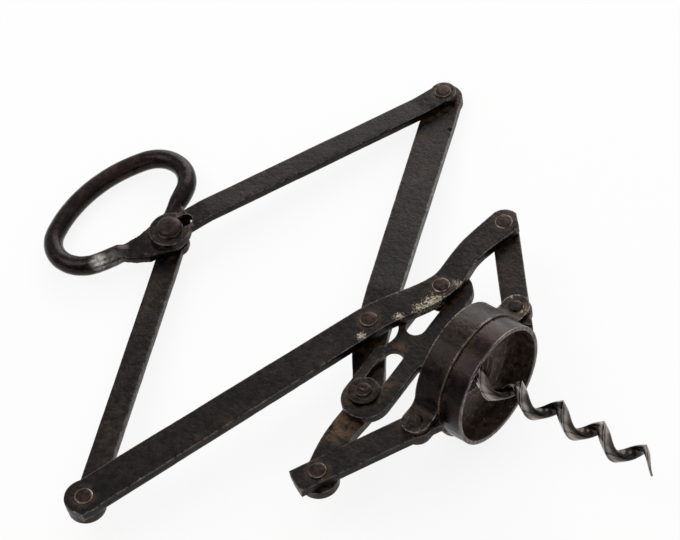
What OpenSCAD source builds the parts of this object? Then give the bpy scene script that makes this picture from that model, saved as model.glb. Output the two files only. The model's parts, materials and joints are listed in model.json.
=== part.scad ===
// Lazy-tongs lever corkscrew: two crossed levers and two upper links form a
// folding rhombus. The levers' studs slide in a fork plate that carries the worm,
// and their tips push a bell over the bottle neck through two short links.
// The tongs are drawn in their own plane, with the crossing rivet at the origin,
// +X towards the worm's tip and +Z square to the plates. The whole then leans
// until the bell and the handle ring both touch the ground.

/* [Tongs] */
// Distance from the crossing rivet to each elbow, and from elbow to handle rivet
lever_len = 106.5; // [100:0.5:112]
// Angle between each lever and the centre line in the drawn position
open_angle = 68; // [66:0.5:70]
// Angle between the rear lever and the centre line, a little wider than the front one's
rear_angle = 69.4; // [67:0.1:71]
// How far the rear lever's elbow is bent down below its own plane
rear_set = 6.4; // [4:0.2:7]
// Distance from the crossing rivet to each sliding stud
stud_reach = 26; // [25:0.5:27]
// Angle of the sliding stud from the centre line
stud_angle = 60.3; // [58:0.5:62]
// Distance from the crossing rivet to each lever tip rivet
tip_reach = 56.7; // [54:0.5:59]
// Angle of the lever tip rivet from the centre line
tip_angle = 72.8; // [71:0.5:75]

/* [Levers] */
// Thickness of the two crossed levers
lever_t = 3.2; // [2.8:0.1:3.6]
// Width of a lever at its elbow
lever_w_elbow = 12.2; // [11:0.2:13]
// Width of a lever at the crossing rivet
lever_w_cross = 11.2; // [10:0.2:12]
// Width of a lever at its stud
lever_w_stud = 9.9; // [9:0.1:11]
// Width of a lever at its waist, between the stud and the tip
lever_w_waist = 9; // [8:0.2:10]
// Radius of a lever's rounded elbow end
elbow_end_r = 6.4; // [6:0.1:7]
// How far the square corner runs past the front lever's elbow rivet
corner_len = 4.2; // [3.6:0.1:4.3]
// Radius of the front lever's tip end
front_tip_r = 5.3; // [5:0.1:6]
// Radius of the rear lever's wider tip end
rear_tip_r = 6.3; // [5.6:0.1:7]
// How far the waist bows outwards from the line between stud and tip
waist_bow = 1.3; // [0:0.1:2.5]

/* [Links] */
// Thickness of the upper and short links
link_t = 3; // [2.6:0.1:3.2]
// Width of the upper links
upper_link_w = 8.2; // [7.8:0.2:10]
// Radius of the front upper link's slotted eye at the handle rivet
upper_eye_r = 7.1; // [6.5:0.1:8]
// Radius of the rear upper link's elbow end
rear_link_end_r = 6.2; // [5.5:0.1:6.4]
// Radius of the front upper link's elbow end
front_link_end_r = 4.6; // [4.3:0.1:6]
// Length of the slot in the front upper link, from the rivet's centre to its end
eye_slot_len = 8.4; // [6:0.2:10]
// Play of the handle rivet at the back and sides of that slot
eye_play = 0.12; // [0.1:0.01:0.3]
// Radius of the rear upper link's eye at the handle rivet
rear_eye_r = 5.4; // [5:0.1:7]
// Distance from the handle rivet to where the links start to slope
slope_start = 14; // [13.6:0.2:17]
// Width of the short links
short_link_w = 9; // [8:0.2:10]
// Radius of the short links' ends between the ears
short_link_end_r = 5.1; // [5:0.05:5.3]
// Length of the corner that the short links keep beside the bell, past the ear rivet
heel_len = 7.2; // [6:0.2:7.4]
// Play of the ear rivet in the short link's hole
ear_play = 2.5; // [2.4:0.05:2.6]
// Length of the left short link's square end past its rivet
square_end_len = 8; // [6:0.5:9]

/* [Fork plate] */
// Thickness of the fork plate
plate_t = 3; // [2.6:0.1:3.2]
// Radius of each arm's rounded end
arm_end_r = 8.1; // [7.6:0.1:8.8]
// How far the centre of each arm's end lies outside the stud
arm_past_stud = 1.2; // [0.8:0.1:2]
// How far the arms' middle lies in front of their slots
arm_lead = 1.3; // [0.8:0.1:1.6]
// Width of the stud slots
slot_w = 6.4; // [6.2:0.1:7]
// Distance from the centre line to the slots' inner ends
slot_inner = 3.6; // [3:0.1:4]
// How far the slots' outer ends lie outside the stud
slot_past_stud = 5.4; // [5:0.1:6]
// How far the slots' middle lies in front of the stud
slot_lead = 0.3; // [0.1:0.1:0.4]
// Radius of the hollow between the arms
crotch_r = 7; // [6.6:0.1:8]
// Half width of the neck behind the worm's shank
neck_half_w = 4.6; // [4.2:0.1:5.5]
// Radius of the shoulders between the arms and the neck
shoulder_r = 2.6; // [2:0.1:2.6]
// Distance from the arms' front edge to the end of the neck
neck_len = 2.8; // [2.6:0.1:3.5]
// Half width of the tongue inside the worm's shank
tongue_half_w = 3.3; // [2.8:0.1:3.5]
// Length of the tongue
tongue_len = 6; // [5:0.2:6.4]

/* [Worm] */
// Outer radius of the worm over its sharp ridge
worm_r = 5; // [4.4:0.1:5.2]
// Pitch of the worm
worm_pitch = 15.1; // [13.5:0.1:16.5]
// Distance from the crossing rivet to the worm's point
worm_tip_x = 105.2; // [98:0.2:112]
// Angle of the worm's point round its axis
worm_tip_turn = 162; // [140:1:180]
// Length over which the wire tapers to its point
worm_taper = 12; // [9:0.5:20]
// Height of the wire from its rounded back to its ridge
wire_h = 4; // [3.4:0.1:4.2]
// Width of the wire
wire_w = 4.2; // [3.6:0.1:4.6]
// How far the worm's point is bent to one side by use
worm_bend = 2.6; // [1:0.2:3]
// Radius of the worm's shank
shank_r = 4; // [3.8:0.1:4.4]
// Distance from the crossing rivet to the end of the shank
shank_end_x = 38; // [37:0.5:40]
// Radius of the pin through the shank
shank_pin_r = 1.2; // [1:0.1:1.4]

/* [Bell] */
// How far the bell's front stands out past its turned seat
bell_step = 1.1; // [0.8:0.1:1.5]
// Wall of the bell
bell_wall = 1.5; // [1.2:0.1:1.8]
// Distance from the crossing rivet to the bell's front rim
bell_front_x = 48.1; // [47:0.1:50]
// Distance from the crossing rivet to the bell's back edge
bell_back_x = 31.2; // [30.4:0.1:32]
// Radius of the turned seat that the straps clamp
seat_r = 19.4; // [19.2:0.1:19.6]
// Wall of the turned seat
seat_wall = 1.8; // [1.4:0.1:2.2]
// Depth of the bell from its rim to its back wall
bell_depth = 7.4; // [6.8:0.1:7.6]
// Thickness of the bell's back wall
back_wall_t = 2.2; // [1.8:0.1:2.6]
// Radius of the hole in the back wall
back_hole_r = 7; // [6.4:0.1:8]

/* [Straps] */
// How far the bell hangs askew between its links
bell_skew = 4; // [2:0.5:5]
// How far the bell hangs to one side of the worm
bell_shift = 1.4; // [0.6:0.1:1.6]
// Thickness of the two straps
strap_t = 1.7; // [1.4:0.1:2]
// Width of the straps along the bell
strap_w = 9.2; // [8.8:0.1:9.4]
// Distance from a strap's outside to the ear rivets
ear_out = 5.2; // [4.8:0.1:6]
// Radius of the flare where a strap turns out into its ears
flare_r = 4; // [2.5:0.5:5]

/* [Handle] */
// Half length of the ring, to the middle of its bar
ring_half_len = 26.6; // [25:0.2:29]
// Half width of the ring, to the middle of its bar
ring_half_w = 15; // [14.4:0.2:16]
// Radius of the ring's tight ends, to the middle of the bar
ring_end_r = 11.5; // [11:0.1:12.5]
// Diameter of the ring's bar
bar_d = 6.8; // [6.2:0.1:7.2]
// Distance from the handle rivet to the ring's middle
ring_reach = 22.1; // [21:0.1:24]
// How far the hand-bent ring sits to one side of its rivet
ring_side = 3.5; // [2:0.1:4]
// Swing of the handle about its rivet in the drawn position
handle_turn = 11; // [8:1:12]
// Thickness of the flat tab
tab_t = 3; // [2.6:0.1:3.2]
// Radius of the flat tab
tab_r = 11.6; // [11:0.1:12.2]
// Distance from the rivet back to the tab's own middle, towards the ring
tab_set = 6.4; // [5.8:0.1:7]
// Distance from the rivet back to the tab's straight inner edge
tab_inner = 8.8; // [8.2:0.1:9.4]
// Distance along the ring from the rivet's line to the middle of its flattened stretch
flat_side = 4.4; // [3.6:0.1:5]
// Radius round that middle within which the bar is forged flat
flat_r = 8.6; // [8:0.1:9.4]

/* [Rivets] */
// Radius of the link rivets
rivet_r = 2; // [1.8:0.05:2.2]
// Radius of the handle rivet
handle_rivet_r = 2.15; // [2:0.05:2.3]
// Radius of the sliding studs
stud_r = 2.1; // [1.9:0.05:2.2]
// Radius of the ear rivets
ear_rivet_r = 1.6; // [1.5:0.05:1.7]
// Radius of the flat rivet heads
head_r = 2.9; // [2.7:0.1:3.6]
// Height of the flat rivet heads
head_h = 0.7; // [0.5:0.1:1]
// Radius of the handle rivet's round head
handle_head_r = 4.6; // [4:0.1:5]
// Height of the handle rivet's round head
handle_head_h = 2.2; // [1.8:0.1:2.6]
// Radius of the stud washers
washer_r = 5.3; // [5:0.1:6]
// Thickness of the stud washers
washer_t = 1.2; // [1:0.1:1.5]
// Radius of the bush on the crossing rivet
bush_r = 4.6; // [4:0.1:4.8]
// Running clearance round a rivet
run_gap = 0.08; // [0.05:0.01:0.1]
// Gap round a rivet that is closed in its own piece
fixed_gap = 0.02; // [0.01:0.01:0.03]
// Side gap between plates that slide on each other
side_gap = 0.2; // [0.15:0.01:0.25]

/* [Hidden] */
$fn = 48;

iron = [0.24, 0.21, 0.19];
dark_iron = [0.19, 0.17, 0.16];
brown_iron = [0.30, 0.24, 0.20];
bright_iron = [0.42, 0.38, 0.34];
rivet_brown = [0.36, 0.24, 0.20];

// Levels of the stacked plates, from the middle plane
mid_top = plate_t / 2;
lever_low = mid_top + side_gap;
lever_top = lever_low + lever_t;
outer_link_top = lever_low + link_t;
mid_link_top = link_t / 2;

// Pivots
elbow = [-lever_len * cos(open_angle), -lever_len * sin(open_angle)];
rear_elbow = [-lever_len * cos(rear_angle), lever_len * sin(rear_angle)];
handle_x = 2 * elbow[0];
front_link_line = rear_elbow - [handle_x, 0];
front_link_len = norm(front_link_line);
front_link_angle = atan2(front_link_line[1], front_link_line[0]);
stud = [stud_reach * cos(stud_angle), stud_reach * sin(stud_angle)];
tip = [tip_reach * cos(tip_angle), tip_reach * sin(tip_angle)];
strap_r = seat_r + fixed_gap + strap_t;
ear_y = strap_r + ear_out;
ear_r = strap_w / 2;
ear_x = bell_back_x + strap_w / 2;
right_ear = [ear_x + ear_y * sin(bell_skew), bell_shift + ear_y * cos(bell_skew)];
left_ear = [ear_x - ear_y * sin(bell_skew), bell_shift - ear_y * cos(bell_skew)];
bell_r = seat_r + bell_step;

// Fork plate
slot_x = stud[0] + slot_lead;
slot_outer = stud[1] + slot_past_stud;
arm_x = slot_x + arm_lead;
arm_reach = stud[1] + arm_past_stud;

// Lever line: straight from elbow to crossing, then two bends by way of the waist
tip_line = tip - stud;
tip_line_dir = atan2(tip_line[1], tip_line[0]);
waist = stud + 0.43 * tip_line + waist_bow * [cos(tip_line_dir + 90), sin(tip_line_dir + 90)];
bend_steps = 8;

// Bends of the rear side: where the set starts past the crossing and ends before the elbow
set_start = 18;
set_end = 10;

// Strap and ring
strap_front_x = bell_back_x + strap_w;
side_spread = ring_half_len - ring_end_r;
side_r = (side_spread * side_spread + ring_half_w * ring_half_w - ring_end_r * ring_end_r)
    / (2 * (ring_half_w - ring_end_r));
side_sweep = atan(side_spread / (side_r - ring_half_w));
ring_c = [-ring_reach, -ring_side];
ring_ramp_len = 3;
flat_narrowing = 1.7;
tab_c = [-tab_set, -0.9];
flat_c = [-tab_set, -flat_side];
bar_sides = 14;
side_steps = 14;
end_steps = 18;

// Lean of the whole: the ring's outer bar and the strap's back edge touch the ground
ring_far_x = handle_x + (ring_c[0] + side_r - ring_half_w) * cos(handle_turn)
    + ring_c[1] * sin(handle_turn) - side_r;
base_span = bell_back_x - ring_far_x;
side_middle = (rear_elbow[1] + elbow[1]) / 2;
tip_wire_scale = 0.2;
lean = atan(strap_r / base_span)
    - asin(bar_d / 2 / sqrt(base_span * base_span + strap_r * strap_r));
ground_z = ring_far_x * sin(lean) - bar_d / 2;
back_x = ring_far_x * cos(lean) - bar_d / 2;
front_x = worm_tip_x * cos(lean) - worm_r * 0.8 * sin(worm_tip_turn) * sin(lean)
    + wire_w / 2 * tip_wire_scale;

// Worm
worm_start_x = shank_end_x - 4;
worm_steps = 112;
wire_back = worm_r - wire_h;
worm_bend_x = 58;
worm_grow_len = 7;

function dir2(a) = [cos(a), sin(a)];
function bez(a, b, c, d, t) =
    pow(1 - t, 3) * a + 3 * pow(1 - t, 2) * t * b + 3 * (1 - t) * t * t * c + pow(t, 3) * d;
function bend(a, a_dir, b, b_dir) = let (pull = norm(b - a) / 3)
    [for (i = [1:bend_steps]) bez(a, a + pull * dir2(a_dir), b - pull * dir2(b_dir), b, i / bend_steps)];
function ramp(a, b) = [for (i = [1:bend_steps]) a + (b - a) * i / bend_steps];
function smooth(t) = let (u = min(1, max(0, t))) u * u * (3 - 2 * u);

// Arc of the ring's line: points with the direction square to the bar, last point left out
function ring_arc(c, r, from, sweep, n) =
    [for (i = [0:n - 1]) let (a = from + sweep * i / n) [c[0] + r * cos(a), c[1] + r * sin(a), a]];

ring_line = concat(
    ring_arc([ring_half_w - side_r, 0], side_r, -side_sweep, 2 * side_sweep, side_steps),
    ring_arc([0, side_spread], ring_end_r, side_sweep, 180 - 2 * side_sweep, end_steps),
    ring_arc([side_r - ring_half_w, 0], side_r, 180 - side_sweep, 2 * side_sweep, side_steps),
    ring_arc([0, -side_spread], ring_end_r, 180 + side_sweep, 180 - 2 * side_sweep, end_steps));

function lever_line(angle) = concat([-lever_len * dir2(angle), [0, 0]],
    bend([0, 0], angle, stud, stud_angle + 11),
    bend(stud, stud_angle + 11, waist, tip_line_dir + 6),
    bend(waist, tip_line_dir + 6, tip, tip_line_dir - 5));
lever_widths = concat([lever_w_elbow, lever_w_cross],
    ramp(lever_w_cross, lever_w_stud),
    ramp(lever_w_stud, lever_w_waist),
    ramp(lever_w_waist, 2 * front_tip_r));

// ---- shared shapes ----

// Leans everything over its two points of rest and puts the origin under its middle
module lean_over() {
    translate([-(front_x + back_x) / 2, -side_middle, -ground_z]) rotate([0, -lean, 0]) children();
}

// Plate of the given outline between two levels
module plate(low, high) {
    translate([0, 0, low]) linear_extrude(high - low) children();
}

// Round hole or post through all levels
module post(p, r, low = -20, high = 20) {
    translate([p[0], p[1], low]) cylinder(r = r, h = high - low);
}

// Band along a line, as wide at each point as its width says
module band(line, widths) {
    last = len(line) - 1;
    dirs = [for (i = [0:last]) let (v = line[min(i + 1, last)] - line[max(i - 1, 0)]) atan2(v[1], v[0])];
    right = [for (i = [0:last]) line[i] + widths[i] / 2 * dir2(dirs[i] - 90)];
    left = [for (i = [last:-1:0]) line[i] + widths[i] / 2 * dir2(dirs[i] + 90)];
    polygon(concat(right, left));
}

// Straight bar from a to b
module bar_between(a, b, w) {
    v = b - a;
    translate(a) rotate(atan2(v[1], v[0])) translate([0, -w / 2]) square([norm(v), w]);
}

// Rivet turned on its axis: shank, closed lower head and upper head with an optional dimple
module rivet(p, r, low, high, low_r, low_h, high_r, high_h, dimple = 0) {
    translate([p[0], p[1], 0]) rotate_extrude() polygon([
        [0, low - low_h], [low_r * 0.72, low - low_h], [low_r * 0.94, low - low_h * 0.6], [low_r, low],
        [r, low], [r, high], [high_r, high], [high_r * 0.95, high + high_h * 0.45],
        [high_r * 0.8, high + high_h * 0.82], [high_r * 0.55, high + high_h],
        [0, high + high_h - dimple]]);
}

// ---- fork plate and worm ----

module fork_plate() {
    front_edge = arm_x + arm_end_r;
    neck_end = front_edge + neck_len;
    color(iron) lean_over() difference() {
        union() {
            plate(-mid_top, mid_top) {
                translate([arm_x - arm_end_r, -arm_reach]) square([2 * arm_end_r, 2 * arm_reach]);
                for (s = [-1, 1]) translate([arm_x, s * arm_reach]) circle(arm_end_r);
                translate([front_edge - 1, -neck_half_w]) square([neck_len + 1, 2 * neck_half_w]);
                for (s = [-1, 1]) translate([front_edge, s * neck_half_w]) difference() {
                    translate([-0.5, s > 0 ? -0.5 : -shoulder_r]) square([shoulder_r + 0.5, shoulder_r + 0.5]);
                    translate([shoulder_r, s * shoulder_r]) circle(shoulder_r);
                }
            }
            plate(-mid_top, mid_top)
                translate([neck_end - 1, -tongue_half_w]) square([tongue_len + 1, 2 * tongue_half_w]);
        }
        post([arm_x - arm_end_r + 3 - crotch_r, 0], crotch_r);
        for (s = [-1, 1]) {
            post([slot_x, s * (slot_inner + slot_w / 2)], slot_w / 2);
            post([slot_x, s * (slot_outer - slot_w / 2)], slot_w / 2);
            translate([slot_x - slot_w / 2, s > 0 ? slot_inner + slot_w / 2 : -slot_outer + slot_w / 2, -12])
                cube([slot_w, slot_outer - slot_inner - slot_w, 24]);
        }
        post([neck_end + tongue_len / 2, 0], shank_pin_r + fixed_gap);
    }
}

// Section of the ground wire: rounded back towards the axis, sharp ridge outwards
function wire_section() = let (h = wire_h, w = wire_w / 2)
    [[h, 0], [h * 0.66, w * 0.42], [h * 0.36, w * 0.86], [h * 0.16, w], [h * 0.03, w * 0.6],
     [0, 0], [h * 0.03, -w * 0.6], [h * 0.16, -w], [h * 0.36, -w * 0.86], [h * 0.66, -w * 0.42]];

// One ring of the worm, u from 0 at the shank to 1 at the point
function worm_ring(u) = let (
    x = worm_start_x + u * (worm_tip_x - worm_start_x),
    turn = worm_tip_turn + 360 * (x - worm_tip_x) / worm_pitch,
    grow = smooth((x - worm_start_x) / worm_grow_len),
    taper = smooth((worm_tip_x - x) / worm_taper),
    scale = tip_wire_scale + (1 - tip_wire_scale) * taper,
    inner = grow * (wire_back + wire_h * (1 - scale) * 0.75) - (1 - grow) * wire_h / 2,
    slope = atan(worm_pitch / (2 * PI * max(1, inner + wire_h * scale / 2))) * grow,
    out = [0, cos(turn), sin(turn)],
    side = [cos(slope), sin(slope) * sin(turn), -sin(slope) * cos(turn)],
    bent = -worm_bend * pow(max(0, x - worm_bend_x) / (worm_tip_x - worm_bend_x), 2))
    [for (q = wire_section()) [x, bent, 0] + (inner + q[0] * scale) * out + q[1] * scale * side];

module worm_wire() {
    sides = len(wire_section());
    points = [for (i = [0:worm_steps]) each worm_ring(i / worm_steps)];
    walls = [for (i = [0:worm_steps - 1], j = [0:sides - 1]) let (
        a = i * sides + j, b = i * sides + (j + 1) % sides) each
        [[a, b, b + sides], [a, b + sides, a + sides]]];
    ends = [[for (j = [sides - 1:-1:0]) j], [for (j = [0:sides - 1]) worm_steps * sides + j]];
    polyhedron(points, concat(walls, ends));
}

module worm() {
    fork_x = arm_x + arm_end_r + neck_len + side_gap;
    color(brown_iron) lean_over() difference() {
        union() {
            translate([fork_x, 0, 0]) rotate([0, 90, 0]) cylinder(r = shank_r, h = shank_end_x - fork_x);
            translate([shank_end_x, 0, 0]) rotate([0, 90, 0]) cylinder(r1 = shank_r, r2 = 1.6, h = 2.4);
            worm_wire();
        }
        translate([fork_x - 1, -shank_r - 1, -mid_top - fixed_gap])
            cube([tongue_len + 1.2, 2 * shank_r + 2, plate_t + 2 * fixed_gap]);
        post([fork_x - side_gap + tongue_len / 2, 0], shank_pin_r + fixed_gap);
    }
}

module shank_pin() {
    p = [arm_x + arm_end_r + neck_len + tongue_len / 2, 0];
    color(dark_iron) lean_over() post(p, shank_pin_r, -shank_r + 0.1, shank_r - 0.1);
}

// ---- crossing ----

module cross_rivet() {
    color(rivet_brown) lean_over()
        rivet([0, 0], rivet_r, -lever_top - side_gap, lever_top + side_gap, head_r, head_h, head_r, head_h);
}

module cross_bush() {
    color(dark_iron) lean_over() difference() {
        post([0, 0], bush_r, -mid_top, mid_top);
        post([0, 0], rivet_r + fixed_gap);
    }
}

// ---- crossed levers ----

module lever_outline(angle, end_r) {
    band(lever_line(angle), lever_widths);
    translate(-lever_len * dir2(angle)) circle(elbow_end_r);
    translate(tip) circle(end_r);
}

module front_lever() {
    color(iron) lean_over() difference() {
        plate(lever_low, lever_top) {
            lever_outline(open_angle, front_tip_r);
            // the square corner that the smith left on the elbow end
            translate(elbow) rotate(open_angle) polygon([[0, 0], [-corner_len * 1.45, -lever_w_elbow * 0.12],
                [-corner_len, -lever_w_elbow / 2], [0, -lever_w_elbow / 2]]);
        }
        post([0, 0], rivet_r + run_gap);
        for (p = [stud, elbow, tip]) post(p, (p == stud ? stud_r : rivet_r) + fixed_gap);
        // the forged flat that cuts the corner off the tip
        translate([tip[0], tip[1], lever_low - 1]) rotate(tip_line_dir - 42)
            translate([front_tip_r * 0.86, -10, 0]) cube([10, 20, lever_t + 2]);
    }
}

// Side view of the rear lever along its length, from past its tip to past its elbow
module rear_lever_side() {
    reach = lever_len + 2 * elbow_end_r;
    outline = [[-reach, -lever_top], [set_start, -lever_top], [lever_len - set_end, -lever_top - rear_set],
        [reach, -lever_top - rear_set], [reach, -lever_low - rear_set],
        [lever_len - set_end, -lever_low - rear_set], [set_start, -lever_low], [-reach, -lever_low]];
    rotate([90, 0, 0]) translate([0, 0, -tip_reach]) linear_extrude(2 * tip_reach) polygon(outline);
}

module rear_lever() {
    color(brown_iron) lean_over() mirror([0, 1, 0]) difference() {
        intersection() {
            plate(-lever_top - rear_set - 1, 0) lever_outline(rear_angle, rear_tip_r);
            rotate(180 + rear_angle) rear_lever_side();
        }
        post([0, 0], rivet_r + run_gap);
        post(stud, stud_r + fixed_gap);
        post(-lever_len * dir2(rear_angle), rivet_r + fixed_gap);
        post(tip, rivet_r + fixed_gap);
    }
}

// Stud closed over its washer beneath the plate
module front_stud() {
    color(rivet_brown) lean_over()
        rivet(stud, stud_r, -lever_low - washer_t, lever_top, stud_r * 1.25, 1.1, head_r, head_h * 0.6);
}

module front_washer() {
    color(dark_iron) lean_over() difference() {
        post(stud, washer_r, -lever_low - washer_t, -lever_low);
        post(stud, stud_r + fixed_gap);
    }
}

// Stud closed over its washer on top of the plate
module rear_stud() {
    color(rivet_brown) lean_over() rivet([stud[0], -stud[1]], stud_r, -lever_top,
        lever_low + washer_t, head_r, head_h * 0.6, stud_r * 1.25, 1.2, 0.5);
}

module rear_washer() {
    color(dark_iron) lean_over() difference() {
        post([stud[0], -stud[1]], washer_r, lever_low, lever_low + washer_t);
        post([stud[0], -stud[1]], stud_r + fixed_gap);
    }
}

module left_elbow_rivet() {
    color(rivet_brown) lean_over()
        rivet(elbow, rivet_r, -mid_link_top - side_gap, lever_top, head_r, head_h, head_r, head_h * 0.6);
}

module right_tip_rivet() {
    color(rivet_brown) lean_over()
        rivet(tip, rivet_r, -mid_link_top - side_gap, lever_top, head_r, head_h, head_r, head_h * 0.6);
}

module right_elbow_rivet() {
    color(rivet_brown) lean_over() rivet(rear_elbow, rivet_r, -lever_top - rear_set,
        mid_link_top + side_gap - rear_set, head_r, head_h * 0.6, head_r, head_h);
}

module left_tip_rivet() {
    color(rivet_brown) lean_over() rivet([tip[0], -tip[1]], rivet_r, -lever_top,
        mid_link_top + side_gap, head_r, head_h * 0.6, head_r, head_h);
}

// ---- upper links, sloping from an outer level at the handle to the middle at the elbow ----

// Side view of a sloping link, drawn along its length: s is 1 for a link that starts on top,
// and drop is how far its far end lies below the middle level
module slope_side(s, len, drop) {
    high = [lever_low, outer_link_top];
    low = [-mid_link_top, mid_link_top];
    reach = len + 2 * elbow_end_r;
    start = -2 * upper_eye_r;
    outline = [[start, high[0]], [slope_start, high[0]], [len - set_end, low[0] - drop],
        [reach, low[0] - drop], [reach, low[1] - drop], [len - set_end, low[1] - drop],
        [slope_start, high[1]], [start, high[1]]];
    rotate([90, 0, 0]) translate([0, 0, -upper_eye_r - 1])
        linear_extrude(2 * upper_eye_r + 2) polygon([for (q = outline) [q[0], s * q[1]]]);
}

// Upper link lying along +X from its handle eye to its elbow end
module upper_link(s, len, drop, eye_r, end_r) {
    intersection() {
        plate(-outer_link_top - drop - 1, outer_link_top + 1) {
            bar_between([0, 0], [len, 0], upper_link_w);
            circle(eye_r);
            translate([len, 0]) circle(end_r);
        }
        slope_side(s, len, drop);
    }
}

module rear_upper_link() {
    color(brown_iron) lean_over() translate([handle_x, 0, 0]) rotate(-open_angle) difference() {
        upper_link(-1, lever_len, 0, rear_eye_r, rear_link_end_r);
        post([0, 0], handle_rivet_r + run_gap);
        post([lever_len, 0], rivet_r + run_gap);
    }
}

module front_upper_link() {
    slot_r = handle_rivet_r + run_gap + eye_play;
    slot_back = eye_play * 8;
    color(iron) lean_over() translate([handle_x, 0, 0]) rotate(front_link_angle) difference() {
        upper_link(1, front_link_len, rear_set, upper_eye_r, front_link_end_r);
        post([-slot_back, 0], slot_r);
        post([eye_slot_len - slot_r, 0], slot_r);
        translate([-slot_back, -slot_r, 0])
            cube([eye_slot_len - slot_r + slot_back, 2 * slot_r, outer_link_top + 1]);
        post([front_link_len, 0], rivet_r + run_gap);
    }
}

// ---- handle ----

module handle_rivet() {
    color(bright_iron) lean_over() rivet([handle_x, 0], handle_rivet_r, -outer_link_top - side_gap / 2,
        outer_link_top + side_gap / 2, head_r + 0.8, 1, handle_head_r, handle_head_h);
}

// How round the bar still is at a point of the ring: 0 where it is forged flat near the rivet
function bar_round(p) = let (away = p + ring_c - flat_c, len = away[1] < 0 ? ring_ramp_len : 3 * ring_ramp_len)
    smooth((norm(away) - flat_r) / len);

// Half height and half width of the bar at a point of the ring
function bar_half_h(p) = (tab_t / 2 - 0.06) * (1 - bar_round(p)) + bar_d / 2 * bar_round(p);
function bar_half_w(p) = bar_d / 2 - flat_narrowing * (1 - bar_round(p));

module handle_ring() {
    rows = len(ring_line);
    points = [for (q = ring_line, j = [0:bar_sides - 1]) let (
        p = [q[0], q[1]], a = 360 * (j + 0.5) / bar_sides, out = bar_half_w(p) * cos(a))
        [p[0] + out * cos(q[2]), p[1] + out * sin(q[2]), bar_half_h(p) * sin(a)]];
    walls = [for (i = [0:rows - 1], j = [0:bar_sides - 1]) let (
        a = i * bar_sides + j, b = i * bar_sides + (j + 1) % bar_sides,
        c = (i + 1) % rows * bar_sides + (j + 1) % bar_sides, d = (i + 1) % rows * bar_sides + j) each
        [[a, b, c], [a, c, d]]];
    polyhedron(points, walls);
}

module handle() {
    color(brown_iron) lean_over() translate([handle_x, 0, 0]) rotate(-handle_turn) difference() {
        union() {
            translate([ring_c[0], ring_c[1], 0]) handle_ring();
            difference() {
                post(tab_c, tab_r, -tab_t / 2, tab_t / 2);
                translate([-tab_inner - 2 * tab_r, -2 * tab_r, -tab_t]) cube([2 * tab_r, 4 * tab_r, 2 * tab_t]);
            }
        }
        post([0, 0], handle_rivet_r + run_gap);
    }
}

// ---- short links ----

// Link from a lever tip at a to a bell ear at b, with its square corner on the side of the bell's front
module short_link_outline(a, b, square_end) {
    v = b - a;
    w = short_link_w / 2;
    heel = v[1] < 0 ? [[-2, 0], [heel_len * 0.8, 0], [heel_len, w], [-2, w]]
        : [[-2, -w], [heel_len, -w], [heel_len * 0.8, 0], [-2, 0]];
    translate(b) rotate(atan2(v[1], v[0])) polygon(heel);
    bar_between(a, b, short_link_w);
    translate(b) circle(short_link_end_r);
    if (!square_end) translate(a) circle(short_link_w / 2);
    if (square_end) intersection() {
        bar_between(a - square_end_len * v / norm(v), a, short_link_w);
        translate(b) circle(norm(v) + square_end_len);
    }
}

module short_link(a, b, square_end) {
    difference() {
        plate(-mid_link_top, mid_link_top) short_link_outline(a, b, square_end);
        post(a, rivet_r + run_gap);
        post(b, ear_rivet_r + ear_play);
    }
}

module right_short_link() {
    color(iron) lean_over() short_link(tip, right_ear, false);
}

module left_short_link() {
    color(dark_iron) lean_over() short_link([tip[0], -tip[1]], left_ear, true);
}

// ---- bell and its straps ----

// Hangs the bell and its straps between the links, a little askew
module hang() {
    translate([ear_x, bell_shift, 0]) rotate(-bell_skew) translate([-ear_x, 0, 0]) children();
}

module bell() {
    seat_end = strap_front_x + side_gap;
    wall_back = bell_front_x - bell_depth - back_wall_t;
    color(iron) lean_over() hang() rotate([0, 90, 0]) rotate_extrude($fn = 96) polygon([
        [seat_r - seat_wall, bell_back_x], [seat_r, bell_back_x], [seat_r, seat_end],
        [bell_r, seat_end], [bell_r, bell_front_x], [bell_r - bell_wall, bell_front_x],
        [bell_r - bell_wall, bell_front_x - bell_depth], [back_hole_r, bell_front_x - bell_depth],
        [back_hole_r, wall_back], [seat_r - seat_wall, wall_back]]);
}

// End view of the upper strap: half a ring that flares out into two flat ears
module strap_profile() {
    ear_top = lever_low + strap_t;
    flare_bite = 0.05;
    corner = sqrt(pow(strap_r + flare_r, 2) - pow(ear_top + flare_r, 2));
    difference() {
        union() {
            circle(strap_r, $fn = 96);
            translate([-ear_y - strap_w, 0]) square([2 * (ear_y + strap_w), ear_top]);
            for (s = [0, 1]) mirror([s, 0]) difference() {
                polygon([[0, 0], [corner, 0], [corner, ear_top],
                    [corner * strap_r / (strap_r + flare_r),
                     (ear_top + flare_r) * strap_r / (strap_r + flare_r)]]);
                translate([corner, ear_top + flare_r - flare_bite]) circle(flare_r);
            }
        }
        circle(seat_r + fixed_gap, $fn = 96);
        translate([-60, lever_low - 80]) square([120, 80]);
    }
}

module strap() {
    difference() {
        intersection() {
            translate([bell_back_x - 1, 0, 0]) rotate([90, 0, 90]) linear_extrude(strap_w + 2) strap_profile();
            plate(0, strap_r + 1) {
                translate([bell_back_x, -ear_y]) square([strap_w, 2 * ear_y]);
                for (s = [-1, 1]) translate([ear_x, s * ear_y]) circle(ear_r);
            }
        }
        for (s = [-1, 1]) post([ear_x, s * ear_y], ear_rivet_r + fixed_gap);
    }
}

module upper_strap() {
    color(dark_iron) lean_over() hang() strap();
}

module lower_strap() {
    color(dark_iron) lean_over() hang() mirror([0, 0, 1]) strap();
}

module ear_rivet(p) {
    ear_top = lever_low + strap_t;
    rivet(p, ear_rivet_r, -ear_top, ear_top, head_r * 0.8, head_h, head_r * 0.8, head_h,
        head_h * 0.8);
}

module right_ear_rivet() {
    color(rivet_brown) lean_over() ear_rivet(right_ear);
}

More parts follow.
